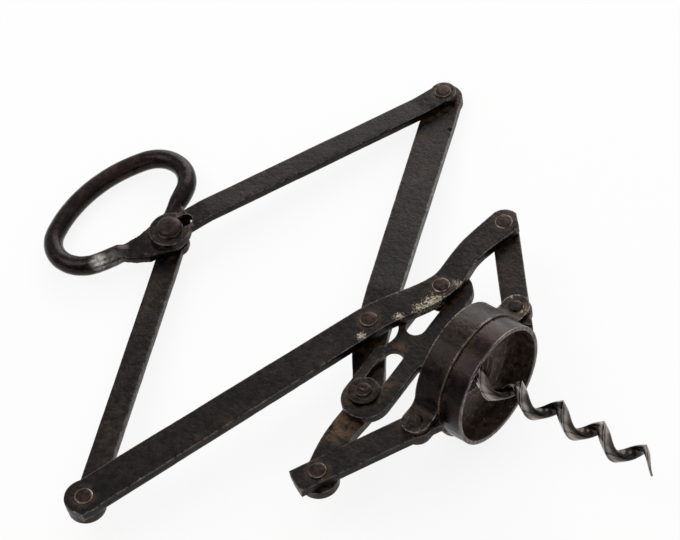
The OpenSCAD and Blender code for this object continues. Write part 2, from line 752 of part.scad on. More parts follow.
module left_ear_rivet() {
    color(rivet_brown) lean_over() ear_rivet(left_ear);
}

fork_plate();
worm();
shank_pin();
cross_rivet();
cross_bush();
front_lever();
front_stud();
front_washer();
left_elbow_rivet();
right_tip_rivet();
rear_lever();
rear_stud();
rear_washer();
right_elbow_rivet();
left_tip_rivet();
rear_upper_link();
front_upper_link();
handle_rivet();
handle();
right_short_link();
left_short_link();
bell();
upper_strap();
lower_strap();
right_ear_rivet();
left_ear_rivet();
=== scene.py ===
import bpy
import bmesh
import json
import math
from mathutils import Matrix, Vector, noise
from mathutils.bvhtree import BVHTree
from mathutils.kdtree import KDTree


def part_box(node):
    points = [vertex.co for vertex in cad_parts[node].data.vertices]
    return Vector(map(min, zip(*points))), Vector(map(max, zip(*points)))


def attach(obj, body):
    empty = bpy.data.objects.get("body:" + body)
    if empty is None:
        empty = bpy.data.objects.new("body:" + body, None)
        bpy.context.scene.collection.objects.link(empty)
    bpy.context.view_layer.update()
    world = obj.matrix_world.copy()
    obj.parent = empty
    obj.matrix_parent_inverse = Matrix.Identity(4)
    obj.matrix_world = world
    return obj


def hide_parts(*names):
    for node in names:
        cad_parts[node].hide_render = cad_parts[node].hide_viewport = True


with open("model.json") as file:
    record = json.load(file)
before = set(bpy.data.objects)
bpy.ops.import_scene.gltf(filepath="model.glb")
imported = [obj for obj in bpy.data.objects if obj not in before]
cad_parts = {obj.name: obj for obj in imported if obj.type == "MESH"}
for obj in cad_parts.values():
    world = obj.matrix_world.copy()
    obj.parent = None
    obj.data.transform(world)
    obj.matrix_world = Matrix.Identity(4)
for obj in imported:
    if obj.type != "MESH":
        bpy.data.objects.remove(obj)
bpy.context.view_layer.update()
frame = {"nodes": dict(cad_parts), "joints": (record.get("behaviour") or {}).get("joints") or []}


# ---- fork plate ----
# Flat wrought-iron plate with two cross slots for the levers' studs and a tongue for the worm's shank.
# Cut out with a chisel, filed to shape and browned. It is the first flat forged piece, so the ways of
# working that the others share are made here.

MM = 0.001
nodes = frame["nodes"]
scene = bpy.context.scene


def middle(node):
    low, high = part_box(node)
    return (low + high) / 2


def joint_axis(name):
    """Direction of one of the tool's joints."""
    return Vector(next(j for j in frame["joints"] if j["name"] == name)["axis"]).normalized()


# The tongs lie in a leaning plane of their own: its middle is the crossing rivet, ALONG runs with the
# worm, ACROSS goes from the left elbow to the right one, and UP stands square to the plates.
CROSSING = middle("cross_rivet")
ALONG = joint_axis("bell_slide")
UP = -joint_axis("fold")
ACROSS = UP.cross(ALONG).normalized()
TONGS = Matrix((ALONG, ACROSS, UP)).transposed().to_4x4()
TONGS.translation = CROSSING
FROM_TONGS = TONGS.inverted()

# Flats are cut up on this grid before they are dented, and finer through their thickness.
BENCH_GRID = 1.7 * MM
THROUGH_SHARE = 0.62
SAME_POINT = 2e-6
NO_LENGTH = 1e-7
SAME_FLAT = math.radians(0.6)


def beside(place, along, across):
    """A point of the tongs near another one, by its millimetres along and across."""
    return place + ALONG * along * MM + ACROSS * across * MM


def merged_copy(node):
    """The CAD node's own shape as one joined skin, with its flats as whole faces."""
    skin = bmesh.new()
    skin.from_mesh(nodes[node].data)
    bmesh.ops.remove_doubles(skin, verts=skin.verts, dist=SAME_POINT)
    bmesh.ops.dissolve_degenerate(skin, edges=skin.edges, dist=NO_LENGTH)
    bmesh.ops.dissolve_limit(skin, angle_limit=SAME_FLAT, verts=skin.verts, edges=skin.edges)
    return skin


def file_the_edges(skin, width, sharp=28):
    """Breaks every sharp edge with a narrow rounded bevel, as files and hands do."""
    limit = math.radians(sharp)
    keen = [e for e in skin.edges if len(e.link_faces) == 2 and e.calc_face_angle(0) > limit]
    bmesh.ops.bevel(skin, geom=keen, offset=width, offset_type="OFFSET", segments=2, profile=0.5,
                    affect="EDGES", clamp_overlap=True)


def keen_points(skin, sharp=28, step=0.5 * MM):
    """Points along the edges that stand proud, from which a skin knows how near it is to one."""
    limit = math.radians(sharp)
    points = []
    for e in skin.edges:
        if len(e.link_faces) == 2 and e.calc_face_angle_signed(0) > limit:
            a, b = (v.co for v in e.verts)
            count = max(1, int((b - a).length / step))
            points += [a.lerp(b, i / count) for i in range(count + 1)]
    return points


def lay_grid(skin, step):
    """Cuts the big flats into small ones on the tongs' own grid, so that the skin can be dented."""
    for axis in range(3):
        places = [(FROM_TONGS @ v.co)[axis] for v in skin.verts]
        low = min(places)
        high = max(places)
        cut = step if axis < 2 else step * THROUGH_SHARE
        count = int((high - low) / cut)
        side = Vector([1.0 if i == axis else 0.0 for i in range(3)])
        for i in range(1, count + 1):
            point = side * (low + (high - low) * i / (count + 1))
            bmesh.ops.bisect_plane(skin, geom=skin.verts[:] + skin.edges[:] + skin.faces[:], dist=NO_LENGTH,
                                   plane_co=TONGS @ point, plane_no=TONGS.to_3x3() @ side)
    bmesh.ops.triangulate(skin, faces=[f for f in skin.faces if len(f.verts) > 4])


def neighbours_of(piece_name):
    """The other nodes as one surface, to tell where dirt collects between the pieces.

    A piece's name begins with its own node's, which is left out. The handle's rivet leaves out both.
    """
    points = []
    faces = []
    for name, other in nodes.items():
        if name in piece_name:
            continue
        start = len(points)
        points += [v.co.copy() for v in other.data.vertices]
        faces += [tuple(start + i for i in p.vertices) for p in other.data.polygons]
    return BVHTree.FromPolygons(points, faces)


HAMMER_WAVES = 0.085
RUST_WAVES = 0.52
RUST_FLOOR = 0.12
SEED_STEPS = (0.137, 0.071, 0.211)


def dent(skin, coarse, fine, seed):
    """Pushes the skin in here and there, by the hammer (coarse) and by rust (fine), in mm."""
    skin.normal_update()
    shift = Vector([seed * step for step in SEED_STEPS])
    moves = []
    for v in skin.verts:
        p = v.co / MM
        slow = noise.noise(p * HAMMER_WAVES + shift) * 0.5 + 0.5
        quick = max(0.0, noise.noise(p * RUST_WAVES + shift * 2) - RUST_FLOOR)
        moves.append(v.co - v.normal * (coarse * slow + fine * quick) * MM)
    for v, co in zip(skin.verts, moves):
        v.co = co


FAR_MM = 9.0


def measure_gaps(mesh, near):
    """Keeps at each point how many millimetres it is from its neighbours."""
    gap = mesh.attributes.new("gap_mm", "FLOAT", "POINT")
    for i, v in enumerate(mesh.vertices):
        found = near.find_nearest(v.co, FAR_MM * MM)
        gap.data[i].value = FAR_MM if found[0] is None else found[3] / MM


def fit(mesh, name, body, replaced, smooth_angle):
    """Makes the mesh a piece of the scene that rides on its body."""
    measure_gaps(mesh, neighbours_of(name))
    for p in mesh.polygons:
        p.use_smooth = True
    mesh.set_sharp_from_angle(angle=math.radians(smooth_angle))
    piece = bpy.data.objects.new(name, mesh)
    scene.collection.objects.link(piece)
    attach(piece, body)
    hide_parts(*replaced)


def hand_over(skin, name, body, replaced, material, keen, smooth_angle=32):
    """Makes a skin a piece, and keeps at each of its points how far it is from a keen edge."""
    skin.normal_update()
    mesh = bpy.data.meshes.new(name)
    skin.to_mesh(mesh)
    skin.free()
    edge = mesh.attributes.new("edge_mm", "FLOAT", "POINT")
    tree = KDTree(max(1, len(keen)))
    for i, p in enumerate(keen):
        tree.insert(p, i)
    tree.balance()
    for i, v in enumerate(mesh.vertices):
        edge.data[i].value = min(FAR_MM, tree.find(v.co)[2] / MM) if keen else FAR_MM
    mesh.materials.append(material)
    fit(mesh, name, body, replaced, smooth_angle)


def forge(node, body, material, seed, width=0.32, coarse=0.16, fine=0.10, grid=BENCH_GRID,
          mark=None):
    """A forged piece from start to finish: width is how far its edges are filed off, in mm."""
    skin = merged_copy(node)
    keen = keen_points(skin)
    file_the_edges(skin, width * MM)
    lay_grid(skin, grid)
    dent(skin, coarse, fine, seed)
    if mark:
        mark(skin)
    hand_over(skin, node + "_forged", body, [node], material, keen)


class Shop:
    """Lays out the nodes of one material from left to right and joins them."""

    def __init__(self, name):
        self.material = bpy.data.materials.new(name)
        self.material.use_nodes = True
        self.tree = self.material.node_tree
        self.tree.nodes.clear()
        out = self.tree.nodes.new("ShaderNodeOutputMaterial")
        self.skin = self.tree.nodes.new("ShaderNodeBsdfPrincipled")
        self.tree.links.new(self.skin.outputs[0], out.inputs["Surface"])
        place = self.tree.nodes.new("ShaderNodeTexCoord")
        scale = self.tree.nodes.new("ShaderNodeVectorMath")
        scale.operation = "SCALE"
        scale.inputs["Scale"].default_value = 1000.0
        self.tree.links.new(place.outputs["Object"], scale.inputs[0])
        self.mm = scale.outputs[0]

    def put(self, socket, value):
        if isinstance(value, bpy.types.NodeSocket):
            self.tree.links.new(value, socket)
        elif isinstance(value, (tuple, list)) and len(value) == 3 and socket.type == "RGBA":
            socket.default_value = (*value, 1.0)
        else:
            socket.default_value = value

    def math(self, what, a, b, clamp=False):
        n = self.tree.nodes.new("ShaderNodeMath")
        n.operation = what
        n.use_clamp = clamp
        self.put(n.inputs[0], a)
        self.put(n.inputs[1], b)
        return n.outputs[0]

    def times(self, first, *others):
        for other in others:
            first = self.math("MULTIPLY", first, other)
        return first

    def most(self, a, b):
        return self.math("MAXIMUM", a, b)

    def span(self, value, low, high, to_low=0.0, to_high=1.0, way="SMOOTHSTEP"):
        """Eases from to_low at low to to_high at high."""
        n = self.tree.nodes.new("ShaderNodeMapRange")
        n.interpolation_type = way
        ends = {"Value": value, "From Min": low, "From Max": high, "To Min": to_low, "To Max": to_high}
        for socket, end in ends.items():
            self.put(n.inputs[socket], end)
        return n.outputs[0]

    def blend(self, amount, a, b):
        n = self.tree.nodes.new("ShaderNodeMix")
        n.data_type = "RGBA"
        self.put(n.inputs[0], amount)
        self.put(n.inputs[6], a)
        self.put(n.inputs[7], b)
        return n.outputs[2]

    def cloud(self, size, detail=4.0, rough=0.55, offset=(0, 0, 0), stretch=None, turn=None, warp=0.0):
        """Noise whose patches are about size millimetres across."""
        spot = self.mm
        if stretch is not None or turn is not None or any(offset):
            m = self.tree.nodes.new("ShaderNodeMapping")
            m.vector_type = "TEXTURE"
            m.inputs["Location"].default_value = offset
            m.inputs["Rotation"].default_value = turn or (0, 0, 0)
            m.inputs["Scale"].default_value = stretch or (1, 1, 1)
            self.tree.links.new(self.mm, m.inputs["Vector"])
            spot = m.outputs[0]
        n = self.tree.nodes.new("ShaderNodeTexNoise")
        n.inputs["Scale"].default_value = 1.0 / size
        n.inputs["Detail"].default_value = detail
        n.inputs["Roughness"].default_value = rough
        n.inputs["Distortion"].default_value = warp
        self.tree.links.new(spot, n.inputs["Vector"])
        return n.outputs[0]

    def pits(self, size, offset=(0, 0, 0)):
        """Round pits about size millimetres apart: 0 in the middle of a pit."""
        m = self.tree.nodes.new("ShaderNodeMapping")
        m.inputs["Location"].default_value = offset
        self.tree.links.new(self.mm, m.inputs["Vector"])
        n = self.tree.nodes.new("ShaderNodeTexVoronoi")
        n.inputs["Scale"].default_value = 1.0 / size
        self.tree.links.new(m.outputs[0], n.inputs["Vector"])
        return n.outputs["Distance"]

    def kept(self, name):
        """A distance or a share that the mesh itself keeps at each point."""
        n = self.tree.nodes.new("ShaderNodeAttribute")
        n.attribute_name = name
        return n.outputs["Fac"]

    def near(self, centre, radius, soft=0.5):
        """1 round a point of the frame, fading to 0 at radius millimetres."""
        n = self.tree.nodes.new("ShaderNodeVectorMath")
        n.operation = "DISTANCE"
        self.tree.links.new(self.mm, n.inputs[0])
        n.inputs[1].default_value = [c / MM for c in centre]
        return self.span(n.outputs["Value"], radius * soft, radius, 1.0, 0.0)

    def relief(self, height, depth, under=None):
        """Raises the skin by up to depth millimetres, over any relief under it."""
        n = self.tree.nodes.new("ShaderNodeBump")
        n.inputs["Distance"].default_value = depth * MM
        n.inputs["Strength"].default_value = 1.0
        self.put(n.inputs["Height"], height)
        if under is not None:
            self.tree.links.new(under, n.inputs["Normal"])
        return n.outputs[0]


CRUST_DARK = (0.030, 0.020, 0.015)
CRUST_BROWN = (0.105, 0.062, 0.040)
CRUST_SPECK = (0.018, 0.013, 0.010)
CRUST_STAIN = (0.020, 0.015, 0.012)
CRUST_FLECK = (0.30, 0.24, 0.13)
PAINTED_HIGHLIGHT_IRON = (0.66, 0.63, 0.58)
FLAKE_BROWN = (0.20, 0.15, 0.10)
FLAKE_PALE = (0.50, 0.44, 0.33)


def darker(colour, share):
    return tuple(c * share for c in colour)


def browned_iron(name, offset, dark=(0.0090, 0.0078, 0.0074), brown=(0.0240, 0.0170, 0.0145),
                 worn=(0.20, 0.17, 0.15), rust=(0.115, 0.052, 0.020), gloss=0.0, wear=1.0, rusting=0.35,
                 grain=(0, 0, 0), chips=(), rusty=(), painted_highlights=(), inside=False, even=0.0, relief=1.0):
    """Iron under a century of browning: mottled dark skin, pits, light worn edges, rust in the gaps.

    chips, rusty and the list after them give spots as a point of the frame, a radius in millimetres and an
    amount, the last being spots of painted highlight;
    grain turns the file strokes, even says how unbroken the worn edges are, and inside adds a crust.
    """
    s = Shop(name)
    patches = s.cloud(13, 4, 0.6, offset)
    mottle = s.cloud(2.3, 5, 0.62, offset)
    speck = s.cloud(0.55, 3, 0.6, offset)
    pit = s.pits(2.1, offset)
    small_pit = s.pits(0.8, offset)
    stroke = s.cloud(1.1, 3, 0.5, offset, stretch=(14, 1, 1), turn=grain)
    edge = s.kept("edge_mm")
    gap = s.kept("gap_mm")

    # the browned skin: big patches and small mottling, black specks, a few light ones
    tone = s.math("ADD", s.times(patches, 0.55), s.times(mottle, 0.45))
    colour = s.blend(s.span(tone, 0.40, 0.66), dark, brown)
    colour = s.blend(s.span(speck, 0.30, 0.72, 0.0, 0.55), colour, darker(dark, 0.45))
    light_speck = s.times(s.span(speck, 0.60, 0.74), s.span(mottle, 0.50, 0.66))
    colour = s.blend(s.times(light_speck, 0.45), colour, darker(brown, 1.9))

    # rust where another piece lies close, in faint patches, and in the listed spots
    dirt = s.times(s.span(gap, 0.25, 2.6, 1.0, 0.0), s.span(mottle, 0.34, 0.62))
    patch_rust = s.times(s.span(s.times(patches, mottle), 0.29, 0.42), rusting * 0.30)
    rust_amount = s.most(s.times(dirt, rusting), patch_rust)
    for centre, radius, amount in rusty:
        spot = s.times(s.near(centre, radius, 0.25), s.span(mottle, 0.36, 0.60), amount)
        rust_amount = s.most(rust_amount, spot)
    rust_tone = s.blend(s.span(speck, 0.35, 0.65), darker(rust, 0.5), rust)
    colour = s.blend(rust_amount, colour, rust_tone)

    if inside:
        # the dull crust of a bell's lining, with light flecks
        lining = s.math("MULTIPLY", s.kept("lining"), s.span(mottle, 0.30, 0.52, 0.55, 1.0), clamp=True)
        crust = s.blend(s.span(tone, 0.38, 0.62), CRUST_DARK, CRUST_BROWN)
        crust = s.blend(s.span(speck, 0.56, 0.70, 0.0, 0.6), crust, CRUST_SPECK)
        crust = s.blend(s.times(s.span(patches, 0.46, 0.60), 0.75), crust, CRUST_STAIN)
        flecks = s.times(s.span(small_pit, 0.38, 0.22), s.span(mottle, 0.55, 0.61))
        crust = s.blend(s.times(flecks, 0.75), crust, CRUST_FLECK)
        colour = s.blend(lining, colour, crust)
        rust_amount = s.most(rust_amount, s.times(lining, 0.8))

    # edges rubbed light, and painted highlights in the listed spots, which are also made glossy and metallic
    broken = s.math("ADD", s.times(mottle, 0.6), s.times(speck, 0.4))
    rim = s.times(s.span(edge, 0.10, 0.62, 1.0, 0.0), s.span(broken, 0.38, 0.60, even, 1.0))
    rim = s.math("MULTIPLY", rim, wear * 0.60, clamp=True)
    colour = s.blend(rim, colour, worn)
    shine = rim
    for centre, radius, amount in painted_highlights:
        spot = s.times(s.near(centre, radius, 0.1), s.span(broken, 0.34, 0.58, 0.15, 1.0), amount)
        colour = s.blend(spot, colour, PAINTED_HIGHLIGHT_IRON)
        shine = s.most(shine, spot)

    # flaked spots, pale and not metallic any more
    if chips:
        chipped = 0.0
        flaking = s.cloud(0.85, 6, 0.85, offset, warp=0.4)
        for centre, radius, amount in chips:
            inward = s.times(s.math("SUBTRACT", s.near(centre, radius, 0.0), 1.0), 0.26)
            flake = s.span(s.math("ADD", flaking, inward), 0.435, 0.480)
            chipped = s.most(chipped, s.times(flake, amount))
        colour = s.blend(chipped, colour, s.blend(s.span(speck, 0.4, 0.6), FLAKE_BROWN, FLAKE_PALE))

    s.put(s.skin.inputs["Base Color"], colour)
    metal = s.math("SUBTRACT", s.span(shine, 0.0, 0.6, 0.80, 1.0), s.times(rust_amount, 0.75), clamp=True)
    if chips:
        metal = s.times(metal, s.math("SUBTRACT", 1.0, chipped))
    s.put(s.skin.inputs["Metallic"], metal)
    rough = s.span(mottle, 0.32, 0.68, 0.28 - gloss, 0.50 - gloss, "LINEAR")
    rough = s.math("ADD", rough, s.times(rust_amount, 0.35))
    rough = s.math("SUBTRACT", rough, s.times(shine, 0.12), clamp=True)
    s.put(s.skin.inputs["Roughness"], rough)
    s.skin.inputs["Specular IOR Level"].default_value = 0.35

    # pits, file strokes and mottling, in millimetres of depth
    hollow = s.times(s.span(pit, 0.10, 0.46), s.span(mottle, 0.35, 0.60, 0.35, 1.0))
    bump = s.relief(hollow, 0.05 * relief)
    bump = s.relief(s.span(small_pit, 0.05, 0.5), 0.022 * relief, bump)
    bump = s.relief(stroke, 0.03 * relief, bump)
    bump = s.relief(mottle, 0.06 * relief, bump)
    if inside:
        bump = s.relief(s.times(s.cloud(1.2, 3, 0.6, offset), s.kept("lining")), 0.32, bump)
    s.put(s.skin.inputs["Normal"], bump)
    return s.material


plate_rust = [
    (beside(CROSSING, 3.0, -7.0), 4.5, 0.9),
    (beside(CROSSING, 13.5, -3.0), 4, 0.8),
    (beside(middle("rear_stud"), 3.0, 6.0), 6, 0.6),
]
plate_finish = browned_iron("plate_iron", (11, 4, 7), rusting=0.45, rusty=plate_rust)
forge("fork_plate", "worm_frame", plate_finish, width=0.35, seed=2)


# ---- worm and its pin ----
# Steel wire ground to a sharp ridge and wound right-handed round a mandrel. Its shank is split and
# pinned over the tongue of the fork plate. Blued, then polished by a thousand corks.

STEEL_DARK = (0.040, 0.034, 0.032)
STEEL_LIGHT = (0.140, 0.118, 0.106)
STEEL_FLANK_HIGHLIGHT = (0.54, 0.475, 0.43)
STEEL_RIDGE_WEAR_AND_HIGHLIGHT = (0.55, 0.50, 0.46)
STEEL_BACK_SHADE = (0.027, 0.021, 0.018)
STEEL_SPECK = (0.40, 0.32, 0.16)


def worm_finish():
    """Dark steel, with a ridge worn bright and painted light, painted highlights on the flanks beside it, and
    painted shade at the wire's back.
    """
    s = Shop("worm_steel")
    mottle = s.cloud(5.0, 3, 0.5, (3, 8, 1))
    speck = s.cloud(0.6, 3, 0.6, (3, 8, 1))
    colour = s.blend(s.span(mottle, 0.36, 0.68), STEEL_DARK, STEEL_LIGHT)
    from_ridge = s.kept("edge_mm")
    # painted highlight: the flanks beside the ridge are painted light
    flank = s.times(s.span(from_ridge, 0.15, 0.70), s.span(from_ridge, 0.8, 1.8, 1.0, 0.0))
    flank = s.times(flank, s.span(mottle, 0.34, 0.62, 0.3, 1.0))
    colour = s.blend(s.times(flank, 0.62), colour, STEEL_FLANK_HIGHLIGHT)
    # the ridge: worn bright, and painted light as a highlight as well
    ridge = s.times(s.span(from_ridge, 0.02, 0.22, 1.0, 0.0), s.span(mottle, 0.30, 0.55, 0.4, 1.0))
    colour = s.blend(s.times(ridge, 0.6), colour, STEEL_RIDGE_WEAR_AND_HIGHLIGHT)
    # painted shade: darker towards the wire's back, which faces the axis
    colour = s.blend(s.times(s.span(from_ridge, 1.8, 3.3), 0.85), colour, STEEL_BACK_SHADE)
    colour = s.blend(s.times(s.span(speck, 0.66, 0.72), 0.5), colour, STEEL_SPECK)
    s.put(s.skin.inputs["Base Color"], colour)
    # the painted highlight on the flanks is made less metallic, so that it shows light from every side
    s.put(s.skin.inputs["Metallic"], s.span(flank, 0.0, 1.0, 0.95, 0.45, "LINEAR"))
    s.put(s.skin.inputs["Roughness"], s.span(mottle, 0.3, 0.7, 0.10, 0.20, "LINEAR"))
    s.put(s.skin.inputs["Normal"], s.relief(s.cloud(2.4, 3, 0.5, (9, 2, 5)), 0.02))
    return s.material


worm_steel = worm_finish()

# The wire grows out of the shank over its first few millimetres, and is drawn out thin at the point,
# which use has bent aside and curled forward. Start, Point and Bend From are places along the tongs.
WIRE = {
    "Pitch": 15.1 * MM,
    "Ridge Radius": 5.0 * MM,
    "Wire Height": 4.0 * MM,
    "Wire Width": 4.2 * MM,
    "Start": 34.0 * MM,
    "Point": 105.2 * MM,
    "Taper": 12.0 * MM,
    "Grow": 7.0 * MM,
    "Thin": 0.2,
    "Point Turn": math.radians(162),
    "Bend": 2.6 * MM,
    "Bend From": 58 * MM,
    "Curl": 1.5 * MM,
}
WIRE_STEPS = 620
WIRE_SIDES = 28
FLANK_SHARE = 0.45
POINT_LIFT = 0.75
SHANK_END = 38.0 * MM
CONE_R = 3.88 * MM
CONE_END_R = 1.6 * MM
CONE_LEN = 2.4 * MM
CONE_SINK = 0.1 * MM


def strike_off(blank, name):
    """The plain mesh that a blank's modifiers make of it; the blank is thrown away."""
    made = bpy.data.meshes.new_from_object(blank.evaluated_get(bpy.context.evaluated_depsgraph_get()))
    made.name = name
    blank.modifiers.clear()
    bpy.data.objects.remove(blank)
    return made


class Loom:
    """Lays out a geometry tree whose sizes and finish are named inputs."""

    def __init__(self, name, sizes):
        self.group = bpy.data.node_groups.new(name, "GeometryNodeTree")
        face = self.group.interface
        face.new_socket(name="Geometry", in_out="INPUT", socket_type="NodeSocketGeometry")
        for size, value in sizes.items():
            face.new_socket(name=size, in_out="INPUT", socket_type="NodeSocketFloat").default_value = value
        face.new_socket(name="Finish", in_out="INPUT", socket_type="NodeSocketMaterial")
        face.new_socket(name="Geometry", in_out="OUTPUT", socket_type="NodeSocketGeometry")
        self.inputs = self.group.nodes.new("NodeGroupInput").outputs
        self.result = self.group.nodes.new("NodeGroupOutput").inputs[0]

    def node(self, kind, setup=None, **links):
        """A new node: __ in an input's name stands for a space, and _0 is the first input."""
        n = self.group.nodes.new(kind)
        for key, value in (setup or {}).items():
            setattr(n, key, value)
        for key, value in links.items():
            self.put(n.inputs[int(key[1:]) if key[0] == "_" else key.replace("__", " ")], value)
        return n

    def put(self, socket, value):
        if isinstance(value, bpy.types.NodeSocket):
            self.group.links.new(value, socket)
        else:
            socket.default_value = value

    def math(self, what, a, b=0.0):
        return self.node("ShaderNodeMath", {"operation": what}, _0=a, _1=b).outputs[0]

    def plus(self, a, b):
        return self.math("ADD", a, b)

    def minus(self, a, b):
        return self.math("SUBTRACT", a, b)

    def times(self, first, *others):
        for other in others:
            first = self.math("MULTIPLY", first, other)
        return first

    def smooth(self, value, low, high):
        return self.node("ShaderNodeMapRange", {"interpolation_type": "SMOOTHSTEP"}, Value=value,
                         From__Min=low, From__Max=high).outputs[0]

    def xyz(self, x, y, z):
        return self.node("ShaderNodeCombineXYZ", _0=x, _1=y, _2=z).outputs[0]

    def position(self):
        """The position of the point in hand, whole and split in three."""
        whole = self.node("GeometryNodeInputPosition").outputs[0]
        return whole, self.node("ShaderNodeSeparateXYZ", _0=whole).outputs

    def move(self, shape, **how):
        return self.node("GeometryNodeSetPosition", Geometry=shape.outputs[0], **how)

    def keep(self, shape, name, value):
        """Keeps a number at each point, for the material."""
        return self.node("GeometryNodeStoreNamedAttribute", {"data_type": "FLOAT", "domain": "POINT"},
                         Geometry=shape.outputs[0], Name=name, Value=value)

    def finish(self, shape):
        """Every tree ends with its instances made real and its material set."""
        shape = self.node("GeometryNodeRealizeInstances", Geometry=shape.outputs[0])
        finish = self.inputs["Finish"]
        shape = self.node("GeometryNodeSetMaterial", Geometry=shape.outputs[0], Material=finish)
        self.put(self.result, shape.outputs[0])

    def weave(self, name, sizes):
        """Runs the tree with these sizes on a single point and returns the plain mesh."""
        point = bpy.data.meshes.new("base")
        point.from_pydata([(0, 0, 0)], [], [])
        base = bpy.data.objects.new("base", point)
        scene.collection.objects.link(base)
        step = base.modifiers.new(name, "NODES")
        step.node_group = self.group
        for item in self.group.interface.items_tree:
            if item.item_type == "SOCKET" and item.in_out == "INPUT" and item.name in sizes:
                step[item.identifier] = sizes[item.name]
        return strike_off(base, name)


def wind_the_wire():
    """The wire along +Z with its ridge outwards: swept, tapered to its point and a little bent by use."""
    loom = Loom("wound_wire", WIRE)
    size = loom.inputs
    height = size["Wire Height"]

    # the wire's centre line runs half a wire's height outside its back, and starts inside the shank
    length = loom.minus(size["Point"], size["Start"])
    line = loom.node("GeometryNodeCurvePrimitiveLine", Start=(0, 0, 0), End=loom.xyz(0.0, 0.0, length))
    line = loom.node("GeometryNodeResampleCurve", Curve=line.outputs[0], Count=WIRE_STEPS)
    along = loom.node("GeometryNodeSplineParameter").outputs["Factor"]
    z = loom.plus(size["Start"], loom.times(along, length))
    to_point = loom.minus(size["Point"], z)
    turns = loom.math("DIVIDE", to_point, size["Pitch"])
    angle = loom.minus(size["Point Turn"], loom.times(turns, 2 * math.pi))
    grow = loom.smooth(loom.minus(z, size["Start"]), 0.0, size["Grow"])
    taper = loom.smooth(to_point, 0.0, size["Taper"])
    thick = loom.plus(size["Thin"], loom.times(loom.minus(1.0, size["Thin"]), taper))
    back = loom.minus(size["Ridge Radius"], height)
    lift = loom.times(height, loom.minus(1.0, thick), POINT_LIFT)
    sunk = loom.times(loom.minus(1.0, grow), height, 0.5)
    inner = loom.minus(loom.times(grow, loom.plus(back, lift)), sunk)
    radius = loom.plus(inner, loom.times(height, thick, 0.5))
    x = loom.times(radius, loom.math("COSINE", angle))
    y = loom.times(radius, loom.math("SINE", angle))
    curl = loom.times(loom.math("POWER", loom.minus(1.0, taper), 2.0), size["Curl"])
    line = loom.move(line, Position=loom.xyz(x, y, loom.plus(z, curl)))
    line = loom.node("GeometryNodeSetCurveNormal", {"mode": "Z_UP"}, Curve=line.outputs[0])

    # out is 1 at the ridge and -1 at the back: the ground flanks draw in towards the ridge
    ring = loom.node("GeometryNodeCurvePrimitiveCircle", Resolution=WIRE_SIDES, Radius=1.0)
    out, side, _ = loom.position()[1]
    ring = loom.keep(ring, "edge_mm", loom.times(loom.minus(1.0, out), loom.times(height, 0.5 / MM)))
    flank = loom.math("SQRT", loom.minus(1.0, out))
    sides = loom.times(side, flank, loom.times(size["Wire Width"], FLANK_SHARE))
    ring = loom.move(ring, Position=loom.xyz(loom.times(out, height, 0.5), sides, 0.0))
    wire = loom.node("GeometryNodeCurveToMesh", Curve=line.outputs[0], Profile__Curve=ring.outputs[0],
                     Scale=thick, Fill__Caps=True)

    spot = loom.position()[1]
    past = loom.math("MAXIMUM", 0.0, loom.minus(spot[2], size["Bend From"]))
    past = loom.math("DIVIDE", past, loom.minus(size["Point"], size["Bend From"]))
    bent = loom.times(past, past, size["Bend"], -1.0)
    wire = loom.move(wire, Offset=loom.xyz(bent, 0.0, 0.0))
    loom.finish(wire)
    return loom.weave("worm_wire", {**WIRE, "Finish": worm_steel})


# the wire is wound along +Z with its turn counted from +X; in the tongs the turn counts from ACROSS
WIND = TONGS @ Matrix((Vector((0, 0, 1)), Vector((1, 0, 0)), Vector((0, 1, 0)))).to_4x4()


def make_the_worm():
    """The slotted shank keeps its CAD shape, gets a short nose, and the wire grows out of it."""
    shank = merged_copy("worm")
    bmesh.ops.bisect_plane(shank, geom=shank.verts[:] + shank.edges[:] + shank.faces[:], dist=NO_LENGTH,
                           plane_co=TONGS @ Vector((SHANK_END, 0, 0)), plane_no=ALONG, clear_outer=True)
    rim = [e for e in shank.edges if len(e.link_faces) == 1]
    bmesh.ops.edgeloop_fill(shank, edges=rim)
    keen = keen_points(shank, sharp=40)
    file_the_edges(shank, 0.2 * MM)
    bmesh.ops.triangulate(shank, faces=[f for f in shank.faces if len(f.verts) > 4])
    nose = WIND @ Matrix.Translation((0, 0, SHANK_END + CONE_LEN / 2 - CONE_SINK))
    bmesh.ops.create_cone(shank, cap_ends=True, segments=40, radius1=CONE_R, radius2=CONE_END_R,
                          depth=CONE_LEN, matrix=nose)
    shank_finish = browned_iron("shank_iron", (6, 16, 26), gloss=0.08, rusting=0.3)
    hand_over(shank, "worm_shank", "worm_frame", ["worm"], shank_finish, keen,
              smooth_angle=38)
    wire = wind_the_wire()
    wire.transform(WIND)
    fit(wire, "worm_wire", "worm_frame", ["worm"], smooth_angle=60)


make_the_worm()
pin_finish = browned_iron("pin_iron", (2, 31, 5), rusting=0.5)
forge("shank_pin", "worm_frame", pin_finish, width=0.2, grid=1.0 * MM, seed=3)


# ---- crossing rivet and bush ----
# Iron rivet hammered closed on both sides, over the two levers where they cross. A short iron bush
# round its shank keeps the levers apart.

